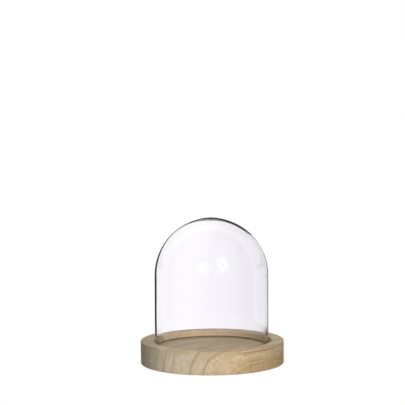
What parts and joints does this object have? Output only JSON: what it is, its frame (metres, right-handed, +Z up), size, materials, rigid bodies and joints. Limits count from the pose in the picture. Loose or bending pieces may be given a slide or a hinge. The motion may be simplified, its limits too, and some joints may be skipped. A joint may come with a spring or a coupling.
{
  "type": "bell jar dome",
  "caption": "Small glass bell jar: a round-topped clear dome that stands loose in the recess of a turned light-wood base.",
  "frame": {"origin": "middle of the round footprint, on the surface that the felt pads stand on", "axes": "+Z up the turning axis of the base, which is also the way the dome lifts off; +X to the right as seen from the front"},
  "size_m": [0.14, 0.14, 0.1431],
  "materials": {
    "light_wood": "sanded, uncoated, straight wide grain",
    "clear_glass": "clear, smooth, blown",
    "grey_felt": "pressed felt"
  },
  "bodies": {
    "base": {"wood_base": "light_wood", "felt_pad_1": "grey_felt", "felt_pad_2": "grey_felt", "felt_pad_3": "grey_felt", "felt_pad_4": "grey_felt"},
    "dome": {"glass_dome": "clear_glass"}
  },
  "joints": [
    {"name": "dome_lift", "type": "slide", "parent": "base", "child": "dome", "axis": [0, 0, 1], "range_m": [0, 0.16]}
  ]
}
